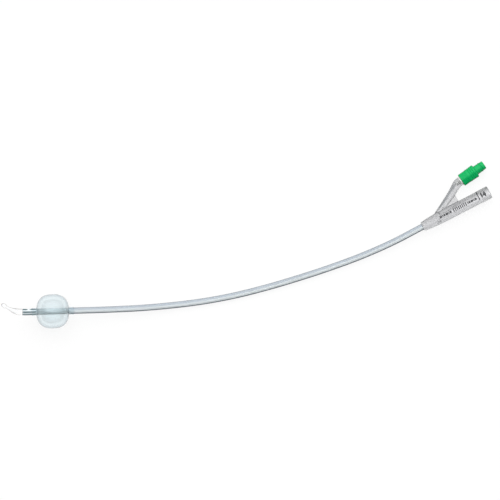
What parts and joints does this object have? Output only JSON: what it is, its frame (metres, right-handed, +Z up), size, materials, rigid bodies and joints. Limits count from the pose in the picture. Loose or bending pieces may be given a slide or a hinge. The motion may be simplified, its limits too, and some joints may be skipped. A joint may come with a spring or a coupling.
{
  "type": "foley urinary catheter",
  "caption": "Clear silicone balloon catheter lying at rest, with its balloon inflated, an upturned olive tip, a drainage funnel and a green inflation valve.",
  "frame": {"origin": "on the floor, under the middle of the whole catheter's box", "axes": "+Z up from the floor it lies on, +X along the drainage funnel towards its mouth, +Y to the side of the inflation arm and the tip"},
  "size_m": [0.384, 0.1031, 0.027],
  "materials": {
    "clear_silicone": "clear, soft gloss, slightly cloudy silicone",
    "balloon_film": "thin stretched clear silicone, glossy",
    "frosted_silicone": "translucent whitish grey moulded silicone, satin",
    "green_plastic": "opaque green moulded plastic, semi-gloss",
    "natural_plastic": "uncoloured milky moulded plastic",
    "seal_rubber": "matt black rubber",
    "spring_steel": "bright drawn stainless wire"
  },
  "bodies": {
    "catheter": {"shaft": "clear_silicone", "tip": "clear_silicone", "balloon": "balloon_film", "y_hub": "frosted_silicone", "valve_body": "green_plastic", "valve_tail": "natural_plastic", "valve_spring": "spring_steel"},
    "plunger": {"valve_plunger": "natural_plastic", "valve_seal": "seal_rubber"}
  },
  "joints": [
    {"name": "valve_push", "type": "slide", "parent": "catheter", "child": "plunger", "axis": [-0.9914, -0.1305, 0], "range_m": [0, 0.0018], "stiffness_N_per_m": 200, "deforming": ["valve_spring"]}
  ]
}
